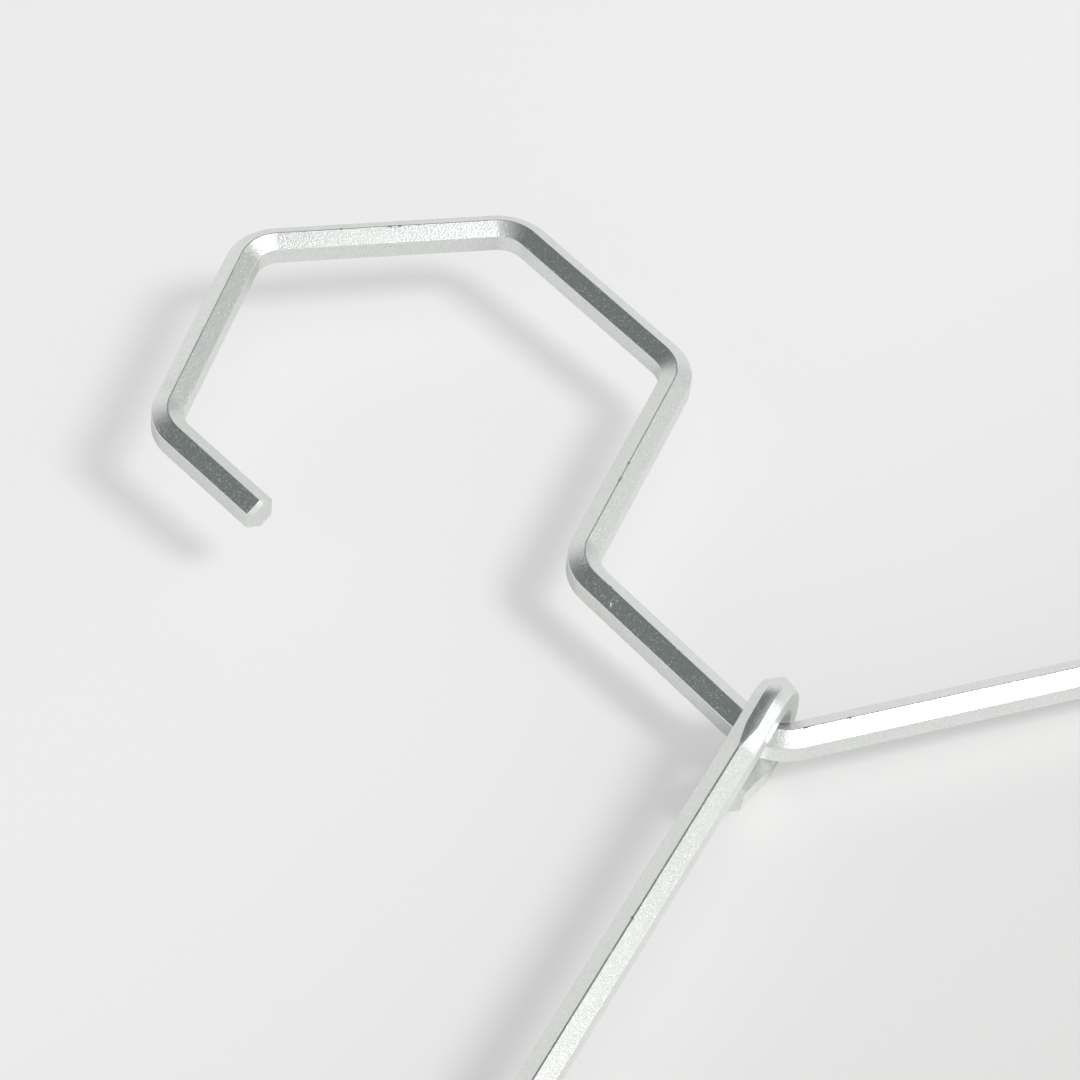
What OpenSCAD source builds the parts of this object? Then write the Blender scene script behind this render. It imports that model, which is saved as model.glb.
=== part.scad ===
// Trouser hanger bent from two lengths of hexagonal aluminium bar.
// The main rod makes the six-sided hook, the neck, the right arm and the trouser bar.
// The left arm is a second rod. Its closed eye swivels on the neck bend, and its open hook
// catches the trouser bar's turned-up end, so that it swings forward like a gate.
// The hanger is modelled lying face up on a table, on its trouser bar and its eye.
// Points in the hanger's own plane are measured from the corner of the neck bend.

/* [Bar] */
// Size of the hexagonal bar across its flats
bar_af = 4; // [3:0.5:5]
// Bend radius of the bar's centre line, the same at every bend in the hanger's plane
bend_r = 5.5; // [4.5:0.25:6.5]
// Gap between the two rods where one passes round the other
running_gap = 0.2; // [0.15:0.05:0.4]

/* [Hook] */
// Neck, from the corner of the neck bend to the first corner of the hook
neck_run = 33.9; // [28:0.1:60]
// Run of the hook that rises away from the neck
rise_run = 36.1; // [32:0.1:40]
// Upright run on the closed side
back_run = 31.8; // [28:0.1:36]
// Run from the upright to the crown
crown_run = 34.4; // [31:0.1:38]
// Run that falls from the crown on the open side
fall_run = 33.4; // [30:0.1:37]
// Last run, from its corner to the end of the tip
tip_run = 18.9; // [14:0.1:24]
// Bend between the neck and the rising run, in degrees
rise_turn = 62; // [58:0.1:64]
// Bend between the rising run and the upright, in degrees
back_turn = 62.4; // [58:0.1:65]
// Bend between the upright and the crown run, in degrees
crown_turn = 59.1; // [56:0.1:63]
// Bend at the crown, in degrees
fall_turn = 64.2; // [59:0.1:66]
// Bend above the tip, in degrees
tip_turn = 58.7; // [55:0.1:63]
// Lean of the neck from square to the trouser bar, in degrees
neck_lean = 1; // [-3:0.1:3]

/* [Frame] */
// Slope of both arms below the line square to the hanger's axis, in degrees
arm_slope = 22.2; // [18:0.1:27]
// Straight length of the right arm, between its two bends
right_arm_run = 186; // [150:1:220]
// Height of the open hook up the turned-up end, from the bend below it
catch_rise = 10; // [6:0.5:14]
// Length of the turned-up end past the middle of the open hook
catch_stand = 10; // [6:0.5:14]

/* [Left arm ends] */
// How far the eye is closed past a half turn, in degrees
eye_close = 28; // [10:1:32]
// Straight tail of the eye, up to its saw cut
eye_tail = 8; // [5:0.5:9]
// Diameter of the flat face left on a turned end
end_face_d = 3.4; // [2.4:0.1:3.5]
// Slope of the turned chamfer to the bar's length, in degrees
chamfer_slope = 50; // [35:1:60]

/* [Hidden] */
$fn = 96;

// The bar has a ridge up and a ridge down, and flats on the inside and outside of each bend.
bar_ac = bar_af / cos(30);
ridge = bar_ac / 2;

// Bending leaves the bar this much fuller on every face, and a straight stretch runs this far
// into the bend beside it, so that both are one solid.
bend_swell = 0.02;
joined = 0.2;
bend_half = bar_af / 2 + bend_swell;
bend_ridge = bend_half / cos(30);

function along(p, dir, l) = p + l * [cos(dir), sin(dir)];
function tangent(turn) = bend_r * tan(abs(turn) / 2);

// Headings of the runs, going up the neck and round the hook to its tip.
neck_dir = 90 - neck_lean;
rise_dir = neck_dir - rise_turn;
back_dir = rise_dir + back_turn;
crown_dir = back_dir + crown_turn;
fall_dir = crown_dir + fall_turn;
tip_dir = fall_dir + tip_turn;

// Corners where the runs' centre lines cross.
neck_bottom = [0, 0];
neck_top = along(neck_bottom, neck_dir, neck_run);
back_bottom = along(neck_top, rise_dir, rise_run);
back_top = along(back_bottom, back_dir, back_run);
crown = along(back_top, crown_dir, crown_run);
tip_top = along(crown, fall_dir, fall_run);

// Headings of the arms, outwards from the neck.
right_dir = -arm_slope;
left_dir = 180 + arm_slope;
neck_turn = neck_dir - right_dir;
inner_turn = 180 - neck_turn;

// The neck bend and the point of it that the eye goes round, square to the left arm.
neck_bend_mid = along(neck_bottom, (neck_dir + right_dir) / 2, bend_r / sin(neck_turn / 2));
eye_seat = along(neck_bend_mid, left_dir, bend_r);
eye_r = bar_ac + running_gap;

// Right corner and trouser bar.
right_arm_start = along(neck_bottom, right_dir, tangent(inner_turn));
right_arm_end = along(right_arm_start, right_dir, right_arm_run);
corner_turn = 180 - arm_slope;
corner_mid = along(right_arm_end, right_dir - 90, bend_r);
bar_y = corner_mid.y - bend_r;

// The trouser bar's free end turns up until it stands square to the left arm.
catch_turn = 90 - arm_slope;
catch_dir = 180 - catch_turn;
catch_foot_y = bar_y + bend_r * (1 - sin(arm_slope));
catch_foot_x = eye_seat.x - ((eye_seat.y - catch_foot_y) * cos(arm_slope) - catch_rise) / sin(arm_slope);
catch_foot = [catch_foot_x, catch_foot_y];
catch_mid_x = catch_foot_x + bend_r * cos(arm_slope);
trouser_run = corner_mid.x - catch_mid_x;
catch_point = along(catch_foot, catch_dir, catch_rise);
left_arm_run = norm(catch_point - eye_seat);

// Lying on the table, the hanger leans on its eye, which lifts the hook end.
lean = atan(eye_r / (eye_seat.y - bar_y));
lift = bend_ridge * cos(lean) - bar_y * sin(lean);

// Outermost reaches, which put the origin in the middle of the footprint.
crown_start = along(crown, crown_dir, -tangent(fall_turn));
crown_mid = along(crown_start, crown_dir + 90, bend_r);
reach_right = corner_mid.x + bend_r + bend_half;
reach_left = along(catch_point, left_dir, eye_r + bend_ridge).x;
reach_up = (crown_mid.y + bend_r + bend_half) * cos(lean) + bend_ridge / 2 * sin(lean);
reach_down = (bar_y - bend_half) * cos(lean) - bend_ridge / 2 * sin(lean);

module lying() {
  translate([-(reach_right + reach_left) / 2, -(reach_up + reach_down) / 2, lift])
    rotate([lean, 0, 0])
      color([0.80, 0.81, 0.80])
        children();
}

// The bar's section, with x across the bend and y out of the hanger's plane.
module bar_section(half = bar_af / 2) {
  rotate(30)
    ridge_section(half);
}

// The same bar bent out of the plane, so that its ridges lie inside and outside the bend.
module ridge_section(half = bar_af / 2) {
  circle(r = half / cos(30), $fn = 6);
}

// A straight stretch, which can begin before its start and go on past its length.
module straight(start, dir, l, before = 0, past = 0) {
  translate(along(start, dir, -before))
    rotate([0, 0, dir])
      rotate([90, 0, 90])
        linear_extrude(before + l + past)
          bar_section();
}

// A bend that starts at a point with a heading, and turns left for a positive angle.
module bend(start, dir, turn) {
  side = sign(turn);
  translate(along(start, dir + 90 * side, bend_r))
    rotate([0, 0, dir - 90 * side + min(turn, 0)])
      rotate_extrude(angle = abs(turn))
        translate([bend_r, 0])
          bar_section(bend_half);
}

module bend_at_corner(corner, dir, turn) {
  bend(along(corner, dir, -tangent(turn)), dir, turn);
}

// The stretch between two corners that the bends at its ends leave straight.
module run(corner, dir, l, turn_before, turn_after, past = joined) {
  start = along(corner, dir, tangent(turn_before));
  straight(start, dir, l - tangent(turn_before) - tangent(turn_after), joined, past);
}

// What a lathe leaves of a bar of this length when it chamfers the end.
module turned(l) {
  chamfer_l = (ridge - end_face_d / 2) / tan(chamfer_slope);
  translate([0, 0, -bar_af])
    cylinder(h = bar_af + l - chamfer_l, d = 2 * bar_af);
  translate([0, 0, l - chamfer_l])
    cylinder(h = chamfer_l, d1 = bar_ac, d2 = end_face_d);
}

module straight_with_turned_end(start, dir, l) {
  intersection() {
    straight(start, dir, l, joined);
    translate(start)
      rotate([0, 0, dir])
        rotate([0, 90, 0])
          turned(l);
  }
}

module hook() {
  lying() {
    bend_at_corner(neck_top, neck_dir, -rise_turn);
    run(neck_top, rise_dir, rise_run, rise_turn, back_turn);
    bend_at_corner(back_bottom, rise_dir, back_turn);
    run(back_bottom, back_dir, back_run, back_turn, crown_turn);
    bend_at_corner(back_top, back_dir, crown_turn);
    run(back_top, crown_dir, crown_run, crown_turn, fall_turn);
    bend_at_corner(crown, crown_dir, fall_turn);
    run(crown, fall_dir, fall_run, fall_turn, tip_turn);
    bend_at_corner(tip_top, fall_dir, tip_turn);
    straight_with_turned_end(
      along(tip_top, tip_dir, tangent(tip_turn)), tip_dir, tip_run - tangent(tip_turn)
    );
  }
}

module neck() {
  lying() {
    bend_at_corner(neck_bottom, right_dir + 180, -inner_turn);
    run(neck_bottom, neck_dir, neck_run, inner_turn, rise_turn, 0);
  }
}

module right_arm() {
  lying()
    straight(right_arm_start, right_dir, right_arm_run);
}

module right_corner() {
  lying()
    bend(right_arm_end, right_dir, -corner_turn);
}

module trouser_bar() {
  lying()
    straight([catch_mid_x, bar_y], 0, trouser_run);
}

module catch_end() {
  lying() {
    bend([catch_mid_x, bar_y], 180, -catch_turn);
    straight_with_turned_end(catch_foot, catch_dir, catch_rise + catch_stand);
  }
}

// The left arm's own directions are x along the arm from the eye, and z out of the plane.
module on_left_arm() {
  lying()
    translate(eye_seat)
      rotate([0, 0, left_dir])
        children();
}

// A bend that goes round the other rod, from an angle seen from the arm's right side.
module wrap(from, turn) {
  rotate([90, 0, 0])
    rotate([0, 0, from])
      rotate_extrude(angle = turn)
        translate([eye_r, 0])
          ridge_section(bend_half);
}

module left_arm() {
  on_left_arm()
    translate([0, 0, eye_r])
      straight([0, 0], 0, left_arm_run);
}

module swivel_eye() {
  on_left_arm() {
    wrap(90, 180 + eye_close);
    rotate([0, -eye_close, 0])
      translate([0, 0, -eye_r])
        straight([0, 0], 0, eye_tail, joined);
  }
}

module open_hook() {
  on_left_arm()
    translate([left_arm_run, 0, 0]) {
      wrap(0, 90);
      translate([eye_r, 0, 0])
        rotate([0, 90, 0])
          straight_with_turned_end([0, 0], 0, ridge);
    }
}

hook();
neck();
right_arm();
right_corner();
trouser_bar();
catch_end();
left_arm();
swivel_eye();
open_hook();
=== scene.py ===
# Trouser hanger bent from drawn, satin anodised hexagonal bar, lying on a white table.
import math
import bpy
from mathutils import Euler, Matrix, Vector


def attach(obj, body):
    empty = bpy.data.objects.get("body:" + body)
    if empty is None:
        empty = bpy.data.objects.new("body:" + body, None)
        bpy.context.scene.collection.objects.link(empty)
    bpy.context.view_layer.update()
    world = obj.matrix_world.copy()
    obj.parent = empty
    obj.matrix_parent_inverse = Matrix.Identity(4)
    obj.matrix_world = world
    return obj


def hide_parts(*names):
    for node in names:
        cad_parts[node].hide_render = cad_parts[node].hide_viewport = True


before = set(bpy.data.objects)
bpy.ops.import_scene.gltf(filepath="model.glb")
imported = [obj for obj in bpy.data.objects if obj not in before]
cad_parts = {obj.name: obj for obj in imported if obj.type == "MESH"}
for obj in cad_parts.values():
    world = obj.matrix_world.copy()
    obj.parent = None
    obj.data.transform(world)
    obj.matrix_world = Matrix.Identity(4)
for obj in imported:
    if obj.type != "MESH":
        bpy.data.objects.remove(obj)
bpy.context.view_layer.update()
mm = 0.001
print("frame loaded")


# Small helpers

def hexColour(code):
    # sRGB hex to the linear values that Blender's shaders take
    parts = [int(code[i:i + 2], 16) / 255 for i in (1, 3, 5)]
    return [p / 12.92 if p <= 0.04045 else ((p + 0.055) / 1.055) ** 2.4 for p in parts] + [1.0]


def heading(angle):
    return Vector((math.cos(math.radians(angle)), math.sin(math.radians(angle)), 0.0))


def addNode(tree, kind, inputs=None, **settings):
    # each input takes a value, another node's output, or a node, which stands for its first output
    node = tree.nodes.new(kind)
    for name, value in settings.items():
        setattr(node, name, value)
    for name, given in (inputs or {}).items():
        if isinstance(given, bpy.types.Node):
            given = given.outputs[0]
        if isinstance(given, bpy.types.NodeSocket):
            tree.links.new(given, node.inputs[name])
        else:
            node.inputs[name].default_value = given
    return node


# The bar and the way it is bent, in mm and degrees, repeated from the part's source

bar = {
    "acrossFlats": 4.0,
    "bendRadius": 5.5,
    "edgeRadius": 0.22,      # a drawn bar's edges are never sharp
    "edgeSteps": 4,          # steps in the rounding of each edge
    "arcStep": 3.0,          # degrees of bend between two rings
    "ringStep": 0.05,        # rings this close together carry a turned end's chamfer
    "ringReach": 0.75,       # how much of a turned end they cover
    "chamferSlope": 50.0,
    "endFace": 3.4,
    "crispAbove": 32.0,      # degrees between two faces above which their edge stays crisp
    "runningGap": 0.2,
    "bendSwell": 0.02,       # how much fuller each face of the solids is in a bend
}
hookRuns = {"neck": 33.9, "rise": 36.1, "back": 31.8, "crown": 34.4, "fall": 33.4, "tip": 18.9}
hookTurns = {"rise": 62.0, "back": 62.4, "crown": 59.1, "fall": 64.2, "tip": 58.7}
frameRuns = {"neckLean": 1.0, "armSlope": 22.2, "rightArm": 186.0, "catchRise": 10.0, "catchStand": 10.0}
leftEnds = {
    "eyeClose": 28.0,
    "eyeTail": 8.0,
    "dip": 5.5,              # degrees that the arm dips as it leaves the eye
    "dipRun": 6.8,           # from the top of the eye to the bend that ends the dip
    "dipSteps": 15,          # rings on that run, close enough to carry the squashed ridge
    "dipRadius": 8.0,
    "squash": 0.38,          # what the bending tool has pressed off the eye's outer ridge
    "squashReach": (20.5, 34.5),  # along the rod from the end of the eye's tail
    "squashFade": 4.0,       # how much of that reach the squash takes to begin, and to end
}

sectionTurn = 30.0           # turns the section from a ridge on the inside of a bend to a flat there
cornerToCorner = bar["acrossFlats"] / math.cos(math.radians(30))
ridgeHeight = cornerToCorner / 2


def tangentLength(turn):
    return bar["bendRadius"] * math.tan(math.radians(abs(turn) / 2))


def bentBar(start, angle, moves, radius):
    # a bar fed and turned like on a bending bench: moves are (feed, turn) pairs, left is positive
    points = [start.copy()]
    for feed, turn in moves:
        if feed > 0:
            points.append(points[-1] + heading(angle) * feed)
        if turn:
            side = 1 if turn > 0 else -1
            middle = points[-1] + heading(angle + 90 * side) * radius
            steps = max(2, round(abs(turn) / bar["arcStep"]))
            for k in range(1, steps + 1):
                points.append(middle + heading(angle - 90 * side + turn * k / steps) * radius)
            angle += turn
    return points


def closeRings(points, atStart, atEnd):
    # extra rings near a lathe-turned end, which carry its chamfer
    rings = [bar["ringStep"] * k for k in range(1, round(bar["ringReach"] / bar["ringStep"]) + 1)]
    path = list(points)
    if atStart:
        along = (path[1] - path[0]).normalized()
        path[1:1] = [path[0] + along * r for r in rings]
    if atEnd:
        along = (path[-2] - path[-1]).normalized()
        path[-1:-1] = [path[-1] + along * r for r in reversed(rings)]
    return path


# Headings round the hook, with the corner of the neck bend at 0, 0

neckHeading = 90 - frameRuns["neckLean"]
hookHeadings = {"neck": neckHeading, "rise": neckHeading - hookTurns["rise"]}
for before, run in (("rise", "back"), ("back", "crown"), ("crown", "fall"), ("fall", "tip")):
    hookHeadings[run] = hookHeadings[before] + hookTurns[run]
rightHeading = -frameRuns["armSlope"]
leftHeading = 180 + frameRuns["armSlope"]
neckTurn = neckHeading - rightHeading
innerTurn = 180 - neckTurn

# The place on the neck bend that the eye goes round
eyeRadius = cornerToCorner + bar["runningGap"]
neckBendReach = bar["bendRadius"] / math.sin(math.radians(neckTurn / 2))
neckBendMiddle = heading((neckHeading + rightHeading) / 2) * neckBendReach
eyeSeat = neckBendMiddle + heading(leftHeading) * bar["bendRadius"]

# The trouser bar and its turned-up end
slope = math.radians(frameRuns["armSlope"])
rightArmEnd = heading(rightHeading) * (tangentLength(innerTurn) + frameRuns["rightArm"])
cornerMiddle = rightArmEnd + heading(rightHeading - 90) * bar["bendRadius"]
barY = cornerMiddle.y - bar["bendRadius"]
catchTurn = 90 - frameRuns["armSlope"]
catchFoot = Vector((0, barY + bar["bendRadius"] * (1 - math.sin(slope)), 0))
catchDrop = (eyeSeat.y - catchFoot.y) * math.cos(slope) - frameRuns["catchRise"]
catchFoot.x = eyeSeat.x - catchDrop / math.sin(slope)
trouserRun = cornerMiddle.x - catchFoot.x - bar["bendRadius"] * math.cos(slope)
catchPoint = catchFoot + heading(180 - catchTurn) * frameRuns["catchRise"]
leftArmRun = (catchPoint - eyeSeat).length


def mainRodPath():
    # from the hook's tip round to the turned-up end
    tipEnd = sum((heading(hookHeadings[run]) * hookRuns[run] for run in hookRuns), Vector())
    runs = ["tip", "fall", "crown", "back", "rise", "neck"]
    turns = [-hookTurns[run] for run in runs[:4]] + [hookTurns["rise"], innerTurn]
    moves = []
    lengthBefore = 0.0
    for run, turn in zip(runs, turns):
        moves.append((hookRuns[run] - lengthBefore - tangentLength(turn), turn))
        lengthBefore = tangentLength(turn)
    moves.append((frameRuns["rightArm"], -(180 - frameRuns["armSlope"])))
    moves.append((trouserRun, -catchTurn))
    moves.append((frameRuns["catchRise"] + frameRuns["catchStand"], 0))
    return bentBar(tipEnd, hookHeadings["tip"] + 180, moves, bar["bendRadius"])


def leftRodPath():
    # in the arm's own plane, x along the arm and y out of the hanger: tail, eye, arm, open hook
    turned = 180 + leftEnds["eyeClose"]
    dip = math.radians(leftEnds["dip"])
    eyeEnd = heading(90 + turned) * eyeRadius
    tailEnd = eyeEnd + heading(leftEnds["eyeClose"]) * leftEnds["eyeTail"]
    # the eye's upper half stands higher by as much as the arm dips
    dipBend = leftEnds["dipRadius"] * math.tan(dip / 2)
    raised = (leftEnds["dipRun"] + dipBend) * math.sin(dip) - eyeRadius * (1 - math.cos(dip))
    eyeMoves = [
        (leftEnds["eyeTail"], -90 - leftEnds["eyeClose"]),
        (raised, -90 - leftEnds["dip"]),
    ]
    path = bentBar(tailEnd, leftEnds["eyeClose"] + 180, eyeMoves, eyeRadius)
    dipStep = leftEnds["dipRun"] / leftEnds["dipSteps"]
    for k in range(1, leftEnds["dipSteps"]):
        path.append(path[-1] + heading(-leftEnds["dip"]) * dipStep)
    path += bentBar(path[-1], -leftEnds["dip"], [(dipStep, leftEnds["dip"])], leftEnds["dipRadius"])[1:]
    armMoves = [(leftArmRun - path[-1].x, -90), (ridgeHeight, 0)]
    return path + bentBar(path[-1], 0, armMoves, eyeRadius)[1:]


# Where the two rods lie: the hanger leans on its eye, which lifts the hook end

lean = math.atan(eyeRadius / (eyeSeat.y - barY))
bendHalf = bar["acrossFlats"] / 2 + bar["bendSwell"]
bendRidge = bendHalf / math.cos(math.radians(30))
lift = bendRidge * math.cos(lean) - barY * math.sin(lean)


def hangerPlane():
    # the hanger's plane, laid on the table with its footprint centred
    toCrown = ("neck", "rise", "back", "crown")
    crownStart = sum((heading(hookHeadings[run]) * hookRuns[run] for run in toCrown), Vector())
    crownStart -= heading(hookHeadings["crown"]) * tangentLength(hookTurns["fall"])
    crownMiddle = crownStart + heading(hookHeadings["crown"] + 90) * bar["bendRadius"]
    up = (crownMiddle.y + bar["bendRadius"] + bendHalf) * math.cos(lean) + bendRidge / 2 * math.sin(lean)
    down = (barY - bendHalf) * math.cos(lean) - bendRidge / 2 * math.sin(lean)
    right = cornerMiddle.x + bar["bendRadius"] + bendHalf
    left = catchPoint.x + (heading(leftHeading) * (eyeRadius + bendRidge)).x
    middle = Matrix.Translation((-(right + left) / 2, -(up + down) / 2, lift))
    return middle @ Matrix.Rotation(lean, 4, "X")


layFlat = Matrix.Scale(mm, 4) @ hangerPlane()
alongArm = Matrix.Rotation(math.radians(leftHeading), 4, "Z")
standUp = Matrix.Rotation(math.radians(90), 4, "X")
armPlane = Matrix.Translation(eyeSeat) @ alongArm @ standUp


# Geometry Nodes: the bar's section swept along its path, with turned ends. The inputs are in mm
# and degrees, apart from Section Turn in radians and the two that are 1 for yes and 0 for no.

treeInputs = {
    "Across Flats": bar["acrossFlats"],
    "Edge Radius": bar["edgeRadius"],
    "Section Turn": 0.0,
    "End Face": bar["endFace"],
    "Chamfer Slope": bar["chamferSlope"],
    "Turned At Start": 1.0,
    "Turned At End": 1.0,
    "Squash": 0.0,
    "Squash From": 0.0,
    "Squash To": 1.0,
}


def barTree():
    tree = bpy.data.node_groups.new("hexagonal bar along a path", "GeometryNodeTree")
    tree.interface.new_socket("Path", in_out="INPUT", socket_type="NodeSocketGeometry")
    for name, value in treeInputs.items():
        socket = tree.interface.new_socket(name, in_out="INPUT", socket_type="NodeSocketFloat")
        socket.default_value = value
    tree.interface.new_socket("Finish", in_out="INPUT", socket_type="NodeSocketMaterial")
    tree.interface.new_socket("Bar", in_out="OUTPUT", socket_type="NodeSocketGeometry")
    given = addNode(tree, "NodeGroupInput").outputs

    # the section: a hexagon with softened edges, which remembers the way round it
    twiceCos = 2 * math.cos(math.radians(30))
    cornerRadius = addNode(tree, "ShaderNodeMath", {
        0: given["Across Flats"], 1: twiceCos,
    }, operation="DIVIDE")
    hexagon = addNode(tree, "GeometryNodeCurvePrimitiveCircle", {"Radius": cornerRadius, "Resolution": 6})
    softened = addNode(tree, "GeometryNodeFilletCurve", {
        "Curve": hexagon, "Radius": given["Edge Radius"], "Count": bar["edgeSteps"],
    }, mode="POLY")
    turn = addNode(tree, "ShaderNodeCombineXYZ", {"Z": given["Section Turn"]})
    turnedSection = addNode(tree, "GeometryNodeTransform", {"Geometry": softened, "Rotation": turn})
    wayRound = addNode(tree, "GeometryNodeSplineParameter").outputs["Length"]
    section = addNode(tree, "GeometryNodeStoreNamedAttribute", {
        "Geometry": turnedSection, "Name": "aroundBar", "Value": wayRound,
    }, data_type="FLOAT")

    # the path remembers how far along each point is, its middle line and the direction to its left
    path = addNode(tree, "GeometryNodeSetCurveNormal", {"Curve": given["Path"]}, mode="Z_UP")
    wayAlong = addNode(tree, "GeometryNodeSplineParameter").outputs["Length"]
    whole = addNode(tree, "GeometryNodeSplineLength")
    wayLeft = addNode(tree, "ShaderNodeMath", {0: whole, 1: wayAlong}, operation="SUBTRACT")
    ahead = addNode(tree, "GeometryNodeInputTangent")
    leftward = addNode(tree, "ShaderNodeVectorMath", {0: (0, 0, 1), 1: ahead}, operation="CROSS_PRODUCT")
    remembered = {}
    for name, kind, value in (
        ("alongBar", "FLOAT", wayAlong),
        ("toEnd", "FLOAT", wayLeft),
        ("middleLine", "FLOAT_VECTOR", addNode(tree, "GeometryNodeInputPosition")),
        ("leftOfPath", "FLOAT_VECTOR", leftward),
    ):
        path = addNode(tree, "GeometryNodeStoreNamedAttribute", {
            "Geometry": path, "Name": name, "Value": value,
        }, data_type=kind)
        remembered[name] = addNode(tree, "GeometryNodeInputNamedAttribute", {"Name": name}, data_type=kind)
    swept = addNode(tree, "GeometryNodeCurveToMesh", {
        "Curve": path, "Profile Curve": section, "Fill Caps": True,
    })

    # a turned end leaves no point of the bar outside the lathe's cone
    angle = addNode(tree, "ShaderNodeMath", {0: given["Chamfer Slope"]}, operation="RADIANS")
    rise = addNode(tree, "ShaderNodeMath", {0: angle}, operation="TANGENT")
    faceRadius = addNode(tree, "ShaderNodeMath", {0: given["End Face"], 1: 0.5}, operation="MULTIPLY")
    farOut = 1000.0          # mm, where the cone of an end that isn't turned is out of the way
    cones = []
    for way, isTurned in (("alongBar", "Turned At Start"), ("toEnd", "Turned At End")):
        cone = addNode(tree, "ShaderNodeMath", {
            0: remembered[way], 1: rise, 2: faceRadius,
        }, operation="MULTIPLY_ADD")
        plain = addNode(tree, "ShaderNodeMath", {0: 1.0, 1: given[isTurned]}, operation="SUBTRACT")
        cone = addNode(tree, "ShaderNodeMath", {0: plain, 1: farOut, 2: cone}, operation="MULTIPLY_ADD")
        cones.append(cone)
    allowed = addNode(tree, "ShaderNodeMath", {0: cones[0], 1: cones[1]}, operation="MINIMUM")
    here = addNode(tree, "GeometryNodeInputPosition")
    middle = remembered["middleLine"]
    outwards = addNode(tree, "ShaderNodeVectorMath", {0: here, 1: middle}, operation="SUBTRACT")
    reach = addNode(tree, "ShaderNodeVectorMath", {0: outwards}, operation="LENGTH").outputs["Value"]
    share = addNode(tree, "ShaderNodeMath", {0: allowed, 1: reach}, operation="DIVIDE")
    kept = addNode(tree, "ShaderNodeMath", {0: 1.0, 1: share}, operation="MINIMUM")
    pulledIn = addNode(tree, "ShaderNodeVectorMath", {0: outwards, "Scale": kept}, operation="SCALE")
    onCone = addNode(tree, "ShaderNodeVectorMath", {0: middle, 1: pulledIn}, operation="ADD")
    turnedEnds = addNode(tree, "GeometryNodeSetPosition", {"Geometry": swept, "Position": onCone})

    # the ridge on the path's left, and how much of it the bending tool has pressed down at each point:
    # a softened ridge has all its points this share of its radius, or less, inside a sharp one
    softShare = 0.4
    toLeft = addNode(tree, "ShaderNodeVectorMath", {
        0: outwards, 1: remembered["leftOfPath"],
    }, operation="DOT_PRODUCT").outputs["Value"]
    ridgeReach = addNode(tree, "ShaderNodeMath", {
        0: given["Edge Radius"], 1: -softShare, 2: cornerRadius,
    }, operation="MULTIPLY_ADD")
    onRidge = addNode(tree, "ShaderNodeMath", {0: toLeft, 1: ridgeReach}, operation="GREATER_THAN")
    along = remembered["alongBar"]
    begun = addNode(tree, "ShaderNodeMath", {0: along, 1: given["Squash From"]}, operation="SUBTRACT")
    toGo = addNode(tree, "ShaderNodeMath", {0: given["Squash To"], 1: along}, operation="SUBTRACT")
    inside = addNode(tree, "ShaderNodeMath", {0: begun, 1: toGo}, operation="MINIMUM")
    full = addNode(tree, "ShaderNodeMath", {
        0: inside, 1: leftEnds["squashFade"],
    }, operation="DIVIDE", use_clamp=True)
    depth = addNode(tree, "ShaderNodeMath", {0: given["Squash"], 1: full}, operation="MULTIPLY")
    pressed = addNode(tree, "ShaderNodeMath", {0: depth, 1: onRidge}, operation="MULTIPLY")

    # a hexagon's ridge pressed down becomes a flat, whose edges stand off its middle by depth times root 3
    middleWidth = 0.01       # mm, within which a point belongs to the middle and stays there
    offMiddle = addNode(tree, "ShaderNodeSeparateXYZ", {"Vector": outwards}).outputs["Z"]
    awayFromMiddle = addNode(tree, "ShaderNodeMath", {0: offMiddle}, operation="ABSOLUTE")
    hasSide = addNode(tree, "ShaderNodeMath", {
        0: awayFromMiddle, 1: middleWidth,
    }, operation="GREATER_THAN")
    ownSide = addNode(tree, "ShaderNodeMath", {0: offMiddle, 1: hasSide}, operation="MULTIPLY")
    upOrDown = addNode(tree, "ShaderNodeMath", {0: ownSide}, operation="SIGN")
    halfWidth = addNode(tree, "ShaderNodeMath", {0: pressed, 1: math.sqrt(3)}, operation="MULTIPLY")
    spread = addNode(tree, "ShaderNodeMath", {0: upOrDown, 1: halfWidth}, operation="MULTIPLY")
    widened = addNode(tree, "ShaderNodeCombineXYZ", {"Z": spread})
    back = addNode(tree, "ShaderNodeMath", {0: pressed, 1: -1.0}, operation="MULTIPLY")
    inwards = addNode(tree, "ShaderNodeVectorMath", {
        0: remembered["leftOfPath"], "Scale": back,
    }, operation="SCALE")
    flattened = addNode(tree, "ShaderNodeVectorMath", {0: inwards, 1: widened}, operation="ADD")
    squashed = addNode(tree, "GeometryNodeSetPosition", {"Geometry": turnedEnds, "Offset": flattened})

    # smooth flats and edges, with a crisp rim round each end face
    edgeAngle = addNode(tree, "GeometryNodeInputMeshEdgeAngle")
    gentle = addNode(tree, "FunctionNodeCompare", {
        0: edgeAngle, 1: math.radians(bar["crispAbove"]),
    }, operation="LESS_THAN", data_type="FLOAT")
    smoothFaces = addNode(tree, "GeometryNodeSetShadeSmooth", {"Geometry": squashed}, domain="FACE")
    crispRims = addNode(tree, "GeometryNodeSetShadeSmooth", {
        "Geometry": smoothFaces, "Shade Smooth": gentle,
    }, domain="EDGE")

    # the finish finds its way by the distance along the bar and round it
    around = addNode(tree, "GeometryNodeInputNamedAttribute", {"Name": "aroundBar"}, data_type="FLOAT")
    coords = addNode(tree, "ShaderNodeCombineXYZ", {"X": along, "Y": around})
    mapped = addNode(tree, "GeometryNodeStoreNamedAttribute", {
        "Geometry": crispRims, "Name": "barCoords", "Value": coords,
    }, data_type="FLOAT_VECTOR")
    real = addNode(tree, "GeometryNodeRealizeInstances", {"Geometry": mapped})
    finished = addNode(tree, "GeometryNodeSetMaterial", {"Geometry": real, "Material": given["Finish"]})
    addNode(tree, "NodeGroupOutput", {"Bar": finished})
    return tree


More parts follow.
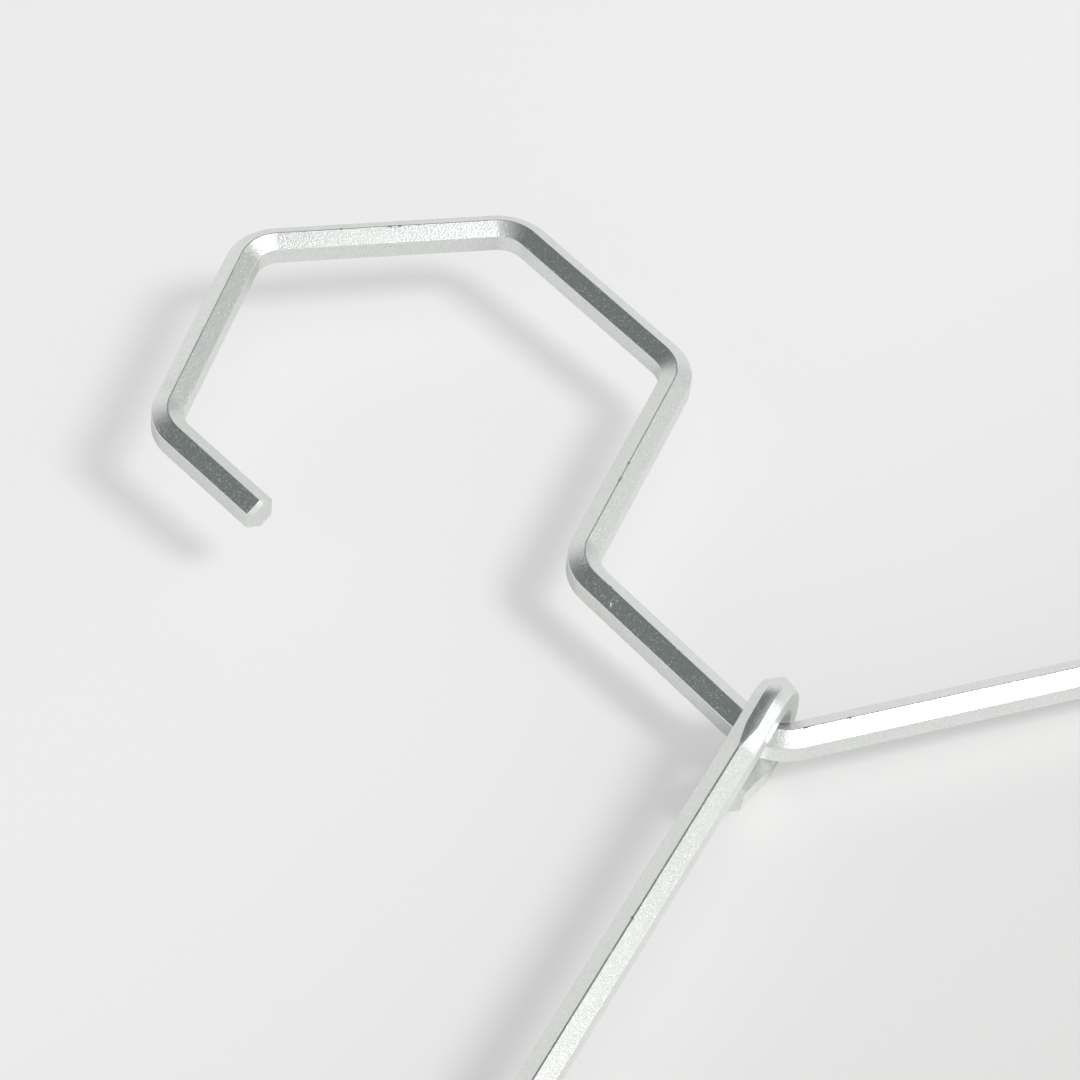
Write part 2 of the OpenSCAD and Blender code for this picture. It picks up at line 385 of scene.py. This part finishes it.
def sweepBar(name, points, place, tree, ownInputs):
    curve = bpy.data.curves.new(name + "Path", "CURVE")
    curve.dimensions = "3D"
    spline = curve.splines.new("POLY")
    spline.points.add(len(points) - 1)
    for point, target in zip(points, spline.points):
        target.co = (*point, 1.0)
    carrier = bpy.data.objects.new(name + "Carrier", curve)
    bpy.context.scene.collection.objects.link(carrier)
    nodes = carrier.modifiers.new("bar", "NODES")
    nodes.node_group = tree
    inputs = {**treeInputs, **ownInputs}
    for item in tree.interface.items_tree:
        if item.item_type == "SOCKET" and item.in_out == "INPUT" and item.name in inputs:
            nodes[item.identifier] = inputs[item.name]
    graph = bpy.context.evaluated_depsgraph_get()
    mesh = bpy.data.meshes.new_from_object(carrier.evaluated_get(graph), depsgraph=graph)
    carrier.modifiers.remove(nodes)
    bpy.data.objects.remove(carrier)
    mesh.transform(place)
    piece = bpy.data.objects.new(name, mesh)
    bpy.context.scene.collection.objects.link(piece)
    flats = piece.modifiers.new("flat faces stay flat", "WEIGHTED_NORMAL")
    flats.keep_sharp = True
    graph = bpy.context.evaluated_depsgraph_get()
    flatMesh = bpy.data.meshes.new_from_object(piece.evaluated_get(graph), depsgraph=graph)
    piece.modifiers.remove(flats)
    piece.data = flatMesh
    return piece


# Finish: drawn aluminium bar, etched and clear anodised, so it is satin, with fine specks whose brighter
# colour is a painted glint, faint die lines along its length, a few scratches, and nicks where a ridge has
# been knocked.
# A "Shows" pair is the noise's value where a mark begins and where it is full, a "Bump" pair is
# strength and depth in mm, and a "Share" or a "Height" is out of 1.

aluminium = {
    "tones": ("#DCDEDC", "#EBECEA"),
    "grain": 0.21,           # mm across one grain of the etching, drawn as coarse as it needs to show
    "grainShows": (0.35, 0.65),
    "grainHeight": 0.8,
    "grainBump": (0.8, 0.045),
    "speckWithPaintedGlint": 0.273,          # mm across a speck of the etching, whose brighter tone is a painted glint where the light catches it
    # painted glint: the specks' near-white tone
    "speckWithPaintedGlintTone": "#FDFEFD",
    "speckWithPaintedGlintShare": 0.7,
    "speckShows": (0.59, 0.67),
    "speckHeight": 0.19,
    "dieLine": (50.0, 0.12),  # mm along and across one die line, also drawn coarse enough to show
    "dieLineBump": (0.35, 0.008),
    "scratch": 0.9,          # mm between the places where a hairline scratch may be
    "scratchBend": 1.6,      # how much the noise is warped
    "scratchWidth": 0.012,   # in the noise's value on each side of its middle
    "scratchPatch": 5.5,     # mm across the patches that scratches come in
    "scratchShows": (0.66, 0.70),
    "scratchHeight": 0.5,
    "ridge": (0.04, 0.26),   # mm from a ridge's middle to where damage on it fades and ends
    "knocksPerMm": 0.9,      # places along a ridge where it may be knocked
    "knockShows": (0.72, 0.75),
    "knockShare": 0.6,
    "nickReach": (0.3, 0.7),  # shares of a nick's length, from its middle to where it fades and ends
    "ragged": 0.35,          # mm across the teeth in a nick's outline
    "raggedShows": (0.42, 0.50),
    "nickTone": "#7D8280",
    "nickShare": 0.9,
    "nickHeight": 0.8,
    "nickBump": (0.8, 0.06),
    "roughness": 0.265,
    "lineRoughness": 0.07,   # what the die lines add to it
    "wornRoughness": 0.2,    # what scratches and nicks add to it
    "speckWorn": 0.4,        # and a speck's share of that
}
nicks = [                    # mm along the main rod from the hook's tip, and the nick's length
    (62.6, 0.5), (69.4, 1.8), (100.6, 0.5), (135.1, 0.35), (138.1, 0.9),
    (157.3, 0.5), (188.9, 0.9), (194.2, 0.5),
]
leftNicks = [(62.0, 0.5)]    # the same, along the left rod from the end of the eye's tail
ridgeOnTop = {"mainRod": 4.0, "leftRod": 3.0}   # ridges from the outline's first one to the one on top


def aroundBar():
    # the softened section's whole outline, in mm
    sharp = 6 * bar["acrossFlats"] * math.tan(math.radians(30))
    cut = 12 * bar["edgeRadius"] * math.tan(math.radians(30))
    return sharp - cut + 2 * math.pi * bar["edgeRadius"]


def ridgeStart():
    # the outline starts where the first ridge's rounding does, so the ridge is half a rounding on
    return bar["edgeRadius"] * math.pi / 6


def drawnAluminium(name, knocked, topRidge):
    material = bpy.data.materials.new(name)
    material.use_nodes = True
    tree = material.node_tree
    tree.nodes.clear()
    place = addNode(tree, "ShaderNodeTexCoord").outputs["Object"]
    coords = addNode(tree, "ShaderNodeAttribute", attribute_name="barCoords").outputs["Vector"]
    onBar = addNode(tree, "ShaderNodeSeparateXYZ", {"Vector": coords})

    # etched grain, and the odd speck in it, made brighter by a painted glint
    grain = addNode(tree, "ShaderNodeTexNoise", {
        "Vector": place, "Scale": 1 / (aluminium["grain"] * mm), "Detail": 2.0, "Roughness": 0.65,
    })
    specks = addNode(tree, "ShaderNodeTexNoise", {
        "Vector": place, "Scale": 1 / (aluminium["speckWithPaintedGlint"] * mm), "Detail": 3.0, "Roughness": 0.7,
    })
    speckWithPaintedGlint = addNode(tree, "ShaderNodeMapRange", {
        "Value": specks, "From Min": aluminium["speckShows"][0], "From Max": aluminium["speckShows"][1],
    }, interpolation_type="SMOOTHSTEP")

    # die lines, long along the bar and fine across it
    lineLength, lineWidth = aluminium["dieLine"]
    stretch = addNode(tree, "ShaderNodeMapping", {
        "Vector": coords, "Scale": (1 / lineLength, 1 / lineWidth, 1.0),
    })
    lines = addNode(tree, "ShaderNodeTexNoise", {
        "Vector": stretch, "Scale": 1.0, "Detail": 3.0, "Roughness": 0.65,
    })

    # hairline scratches, in patches: the thin middle lines of a warped noise
    hair = addNode(tree, "ShaderNodeTexNoise", {
        "Vector": place, "Scale": 1 / (aluminium["scratch"] * mm), "Detail": 1.0,
        "Distortion": aluminium["scratchBend"],
    })
    fromMiddle = addNode(tree, "ShaderNodeMath", {0: hair, 1: 0.5}, operation="SUBTRACT")
    offLine = addNode(tree, "ShaderNodeMath", {0: fromMiddle}, operation="ABSOLUTE")
    line = addNode(tree, "ShaderNodeMapRange", {
        "Value": offLine,
        "From Min": 0.0, "From Max": aluminium["scratchWidth"],
        "To Min": 1.0, "To Max": 0.0,
    }, interpolation_type="SMOOTHSTEP")
    patchNoise = addNode(tree, "ShaderNodeTexNoise", {
        "Vector": place, "Scale": 1 / (aluminium["scratchPatch"] * mm), "Detail": 1.0,
    })
    patch = addNode(tree, "ShaderNodeMapRange", {
        "Value": patchNoise,
        "From Min": aluminium["scratchShows"][0], "From Max": aluminium["scratchShows"][1],
    }, interpolation_type="SMOOTHSTEP")
    scratch = addNode(tree, "ShaderNodeMath", {0: line, 1: patch}, operation="MULTIPLY")

    # the number of the nearest ridge, and how near it is
    side = aroundBar() / 6
    fromFirst = addNode(tree, "ShaderNodeMath", {
        0: onBar.outputs["Y"], 1: ridgeStart(),
    }, operation="SUBTRACT")
    sides = addNode(tree, "ShaderNodeMath", {0: fromFirst, 1: side}, operation="DIVIDE")
    ridge = addNode(tree, "ShaderNodeMath", {0: sides}, operation="ROUND")
    sidesOff = addNode(tree, "ShaderNodeMath", {0: sides, 1: ridge}, operation="SUBTRACT")
    offRidge = addNode(tree, "ShaderNodeMath", {0: sidesOff}, operation="ABSOLUTE")
    edge = addNode(tree, "ShaderNodeMapRange", {
        "Value": offRidge,
        "From Min": aluminium["ridge"][0] / side, "From Max": aluminium["ridge"][1] / side,
        "To Min": 1.0, "To Max": 0.0,
    }, interpolation_type="SMOOTHSTEP")

    # small knocks along the ridges, wherever the noise peaks, with a row of the noise for each ridge
    rowGap = 3.7
    alongKnocks = addNode(tree, "ShaderNodeMath", {
        0: onBar.outputs["X"], 1: aluminium["knocksPerMm"],
    }, operation="MULTIPLY")
    row = addNode(tree, "ShaderNodeMath", {0: ridge, 1: rowGap}, operation="MULTIPLY")
    spot = addNode(tree, "ShaderNodeCombineXYZ", {"X": alongKnocks, "Y": row})
    knocks = addNode(tree, "ShaderNodeTexNoise", {
        "Vector": spot, "Scale": 1.0, "Detail": 2.0, "Roughness": 0.7,
    })
    nick = addNode(tree, "ShaderNodeMapRange", {
        "Value": knocks,
        "From Min": aluminium["knockShows"][0], "From Max": aluminium["knockShows"][1],
        "To Min": 0.0, "To Max": aluminium["knockShare"],
    }, interpolation_type="SMOOTHSTEP")

    # the nicks that this hanger has, all on the ridge that faces up
    onTop = addNode(tree, "ShaderNodeMath", {0: ridge, 1: topRidge, 2: 0.1}, operation="COMPARE")
    for along, length in knocked:
        fadesFrom, endsAt = [length * share for share in aluminium["nickReach"]]
        fromNick = addNode(tree, "ShaderNodeMath", {0: onBar.outputs["X"], 1: along}, operation="SUBTRACT")
        offNick = addNode(tree, "ShaderNodeMath", {0: fromNick}, operation="ABSOLUTE")
        here = addNode(tree, "ShaderNodeMapRange", {
            "Value": offNick, "From Min": fadesFrom, "From Max": endsAt, "To Min": 1.0, "To Max": 0.0,
        }, interpolation_type="SMOOTHSTEP")
        hereOnTop = addNode(tree, "ShaderNodeMath", {0: here, 1: onTop}, operation="MULTIPLY")
        nick = addNode(tree, "ShaderNodeMath", {0: nick, 1: hereOnTop}, operation="MAXIMUM")
    teeth = addNode(tree, "ShaderNodeTexNoise", {
        "Vector": place, "Scale": 1 / (aluminium["ragged"] * mm), "Detail": 2.0,
    })
    ragged = addNode(tree, "ShaderNodeMapRange", {
        "Value": teeth,
        "From Min": aluminium["raggedShows"][0], "From Max": aluminium["raggedShows"][1],
    }, interpolation_type="SMOOTHSTEP")
    for limit in (edge, ragged):
        nick = addNode(tree, "ShaderNodeMath", {0: nick, 1: limit}, operation="MULTIPLY")

    # colour: the grain's two tones, then the specks' painted glint and the nicks over them
    darker, lighter = [hexColour(tone) for tone in aluminium["tones"]]
    tone = addNode(tree, "ShaderNodeMapRange", {
        "Value": grain, "From Min": aluminium["grainShows"][0], "From Max": aluminium["grainShows"][1],
    })
    colour = addNode(tree, "ShaderNodeMix", {
        "Factor": tone, "A": darker, "B": lighter,
    }, data_type="RGBA").outputs["Result"]
    for part, mask in (("speckWithPaintedGlint", speckWithPaintedGlint), ("nick", nick)):
        share = addNode(tree, "ShaderNodeMath", {
            0: mask, 1: aluminium[part + "Share"],
        }, operation="MULTIPLY")
        colour = addNode(tree, "ShaderNodeMix", {
            "Factor": share, "A": colour, "B": hexColour(aluminium[part + "Tone"]),
        }, data_type="RGBA").outputs["Result"]

    # roughness: the die lines, then what is worn
    rough = addNode(tree, "ShaderNodeMath", {
        0: lines, 1: aluminium["lineRoughness"], 2: aluminium["roughness"],
    }, operation="MULTIPLY_ADD")
    dullSpeck = addNode(tree, "ShaderNodeMath", {
        0: speckWithPaintedGlint, 1: aluminium["speckWorn"],
    }, operation="MULTIPLY")
    worn = addNode(tree, "ShaderNodeMath", {0: dullSpeck, 1: scratch}, operation="MAXIMUM")
    for mask in (worn, nick):
        rough = addNode(tree, "ShaderNodeMath", {
            0: mask, 1: aluminium["wornRoughness"], 2: rough,
        }, operation="MULTIPLY_ADD")

    # relief: the etching, the die lines, and the damage that goes into the metal
    speckUp = addNode(tree, "ShaderNodeMath", {
        0: speckWithPaintedGlint, 1: aluminium["speckHeight"],
    }, operation="MULTIPLY")
    etched = addNode(tree, "ShaderNodeMath", {
        0: grain, 1: aluminium["grainHeight"], 2: speckUp,
    }, operation="MULTIPLY_ADD")
    scratchDown = addNode(tree, "ShaderNodeMath", {
        0: scratch, 1: aluminium["scratchHeight"],
    }, operation="MULTIPLY")
    damage = addNode(tree, "ShaderNodeMath", {
        0: nick, 1: aluminium["nickHeight"], 2: scratchDown,
    }, operation="MULTIPLY_ADD")
    sunk = addNode(tree, "ShaderNodeMath", {0: 1.0, 1: damage}, operation="SUBTRACT")
    bumpBelow = {}
    for relief, bump in ((etched, "grainBump"), (lines, "dieLineBump"), (sunk, "nickBump")):
        strength, depth = aluminium[bump]
        normal = addNode(tree, "ShaderNodeBump", {
            "Height": relief, "Strength": strength, "Distance": depth * mm, **bumpBelow,
        })
        bumpBelow = {"Normal": normal}

    shader = addNode(tree, "ShaderNodeBsdfPrincipled", {
        "Metallic": 1.0, "Base Color": colour, "Roughness": rough, "Normal": normal,
    })
    addNode(tree, "ShaderNodeOutputMaterial", {"Surface": shader})
    return material


finish = drawnAluminium("drawn satin anodised aluminium", nicks, ridgeOnTop["mainRod"])
leftFinish = drawnAluminium("drawn satin anodised aluminium, left arm", leftNicks, ridgeOnTop["leftRod"])
print("finish made")

tree = barTree()
mainRod = sweepBar("mainRod", closeRings(mainRodPath(), True, True), layFlat, tree, {
    "Section Turn": math.radians(sectionTurn), "Finish": finish,
})
leftRod = sweepBar("leftRod", closeRings(leftRodPath(), False, True), layFlat @ armPlane, tree, {
    "Turned At Start": 0.0,
    "Squash": leftEnds["squash"],
    "Squash From": leftEnds["squashReach"][0],
    "Squash To": leftEnds["squashReach"][1],
    "Finish": leftFinish,
})
print("rods bent:", len(mainRod.data.polygons), "and", len(leftRod.data.polygons), "faces")

for rod, body, nodes in (
    (mainRod, "main_rod", ("hook", "neck", "right_arm", "right_corner", "trouser_bar", "catch_end")),
    (leftRod, "left_arm_rod", ("left_arm", "swivel_eye", "open_hook")),
):
    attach(rod, body)
    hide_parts(*nodes)


# The table: matt white board, made whiter for the camera, with painted shade that greys it from the hook
# towards the arms

table = {
    "board": "#F4F4F3",
    # seen by the camera: an even white, and the grey of the painted shade
    "seen": ("#F2F2F2", "#BCBBB9"),
    "seenShare": 0.42,
    "paintedShadeTowards": (0.1, -0.995, 0.0),
    "paintedShadeReach": (-60.0, 140.0),    # mm from the table's middle, where the painted shade begins and where it is full
    "halfWidth": 1500.0,
}


def whiteBoard():
    material = bpy.data.materials.new("matt white board")
    material.use_nodes = True
    tree = material.node_tree
    tree.nodes.clear()
    board = addNode(tree, "ShaderNodeBsdfDiffuse", {"Color": hexColour(table["board"])})
    place = addNode(tree, "ShaderNodeTexCoord").outputs["Object"]
    across = addNode(tree, "ShaderNodeVectorMath", {
        0: place, 1: table["paintedShadeTowards"],
    }, operation="DOT_PRODUCT").outputs["Value"]
    near, far = [reach * mm for reach in table["paintedShadeReach"]]
    # painted shade: the colour the camera sees greys across this reach
    fall = addNode(tree, "ShaderNodeMapRange", {
        "Value": across, "From Min": near, "From Max": far,
    }, interpolation_type="SMOOTHSTEP")
    whiter, paintedShadeGrey = [hexColour(tone) for tone in table["seen"]]
    shade = addNode(tree, "ShaderNodeMix", {
        "Factor": fall, "A": whiter, "B": paintedShadeGrey,
    }, data_type="RGBA").outputs["Result"]
    seen = addNode(tree, "ShaderNodeEmission", {"Color": shade, "Strength": 1.0})
    fromCamera = addNode(tree, "ShaderNodeLightPath").outputs["Is Camera Ray"]
    share = addNode(tree, "ShaderNodeMath", {0: fromCamera, 1: table["seenShare"]}, operation="MULTIPLY")
    mixed = addNode(tree, "ShaderNodeMixShader", {"Fac": share, 1: board, 2: seen})
    addNode(tree, "ShaderNodeOutputMaterial", {"Surface": mixed})
    return material


half = table["halfWidth"] * mm
corners = [(-half, -half, 0), (half, -half, 0), (half, half, 0), (-half, half, 0)]
boardMesh = bpy.data.meshes.new("tableTop")
boardMesh.from_pydata(corners, [], [(0, 1, 2, 3)])
tableTop = bpy.data.objects.new("tableTop", boardMesh)
bpy.context.scene.collection.objects.link(tableTop)
boardMesh.materials.append(whiteBoard())


# Studio: the white table's glow along the horizon, and a dim room above it that is darkest at the back.
# A patch is full within its inner angle and gone outside its outer one. All angles are in degrees.

studio = {"horizon": "#FAFAFA", "horizonUpTo": 14.0, "room": "#D4D5D4", "roomFrom": 50.0}
patches = [
    {"colour": "#F5F6F5", "azimuth": -50.0, "elevation": 43.0, "inner": 15.0, "outer": 29.0},
    {"colour": "#A8AEAC", "azimuth": 8.0, "elevation": 36.0, "inner": 6.0, "outer": 24.0},
    {"colour": "#C4C7C6", "azimuth": -112.0, "elevation": 76.0, "inner": 8.0, "outer": 26.0},
    {"colour": "#656D6B", "azimuth": 124.0, "elevation": 55.0, "inner": 17.0, "outer": 38.0},
    {"colour": "#656D6B", "azimuth": 52.0, "elevation": 56.0, "inner": 12.0, "outer": 32.0},
]


def towards(azimuth, elevation):
    level = heading(azimuth) * math.cos(math.radians(elevation))
    return Vector((level.x, level.y, math.sin(math.radians(elevation))))


def studioWorld():
    world = bpy.data.worlds.new("studio")
    world.use_nodes = True
    tree = world.node_tree
    tree.nodes.clear()
    look = addNode(tree, "ShaderNodeTexCoord").outputs["Generated"]
    height = addNode(tree, "ShaderNodeSeparateXYZ", {"Vector": look}).outputs["Z"]
    up = addNode(tree, "ShaderNodeMapRange", {
        "Value": height,
        "From Min": math.sin(math.radians(studio["horizonUpTo"])),
        "From Max": math.sin(math.radians(studio["roomFrom"])),
    }, interpolation_type="SMOOTHSTEP")
    light = addNode(tree, "ShaderNodeMix", {
        "Factor": up, "A": hexColour(studio["horizon"]), "B": hexColour(studio["room"]),
    }, data_type="RGBA").outputs["Result"]
    for patch in patches:
        facing = addNode(tree, "ShaderNodeVectorMath", {
            0: look, 1: towards(patch["azimuth"], patch["elevation"]),
        }, operation="DOT_PRODUCT").outputs["Value"]
        mask = addNode(tree, "ShaderNodeMapRange", {
            "Value": facing,
            "From Min": math.cos(math.radians(patch["outer"])),
            "From Max": math.cos(math.radians(patch["inner"])),
        }, interpolation_type="SMOOTHSTEP")
        light = addNode(tree, "ShaderNodeMix", {
            "Factor": mask, "A": light, "B": hexColour(patch["colour"]),
        }, data_type="RGBA").outputs["Result"]
    background = addNode(tree, "ShaderNodeBackground", {"Color": light, "Strength": 1.0})
    addNode(tree, "ShaderNodeOutputWorld", {"Surface": background})
    return world


bpy.context.scene.world = studioWorld()

# A round softbox beyond the trouser bar, a little towards the right arm: degrees, mm and watts
softbox = {"towards": (-65.0, 51.0), "distance": 1800.0, "size": 560.0, "power": 14.8}
lamp = bpy.data.lights.new("softbox", "AREA")
lamp.shape = "DISK"
lamp.size = softbox["size"] * mm
lamp.energy = softbox["power"]
stand = bpy.data.objects.new("softbox", lamp)
bpy.context.scene.collection.objects.link(stand)
stand.location = towards(*softbox["towards"]) * softbox["distance"] * mm
stand.rotation_euler = (-stand.location).to_track_quat("-Z", "Y").to_euler()
print("studio lit")


# Camera at the photograph's place: a long lens above the lower left of the hook

camera = {
    "location": (-233.13, -210.86, 349.38),     # mm
    "angles": (44.633, -2.472, -41.369),        # degrees
    "lens": 133.333,
    "sensor": 36.0,
    "clipStart": 10.0,
}
lens = bpy.data.cameras.new("camera")
lens.sensor_fit = "HORIZONTAL"
lens.sensor_width = camera["sensor"]
lens.lens = camera["lens"]
lens.clip_start = camera["clipStart"] * mm
eye = bpy.data.objects.new("camera", lens)
bpy.context.scene.collection.objects.link(eye)
eye.location = Vector(camera["location"]) * mm
eye.rotation_euler = Euler([math.radians(angle) for angle in camera["angles"]], "XYZ")
bpy.context.scene.camera = eye

bpy.context.scene.view_settings.view_transform = "Standard"
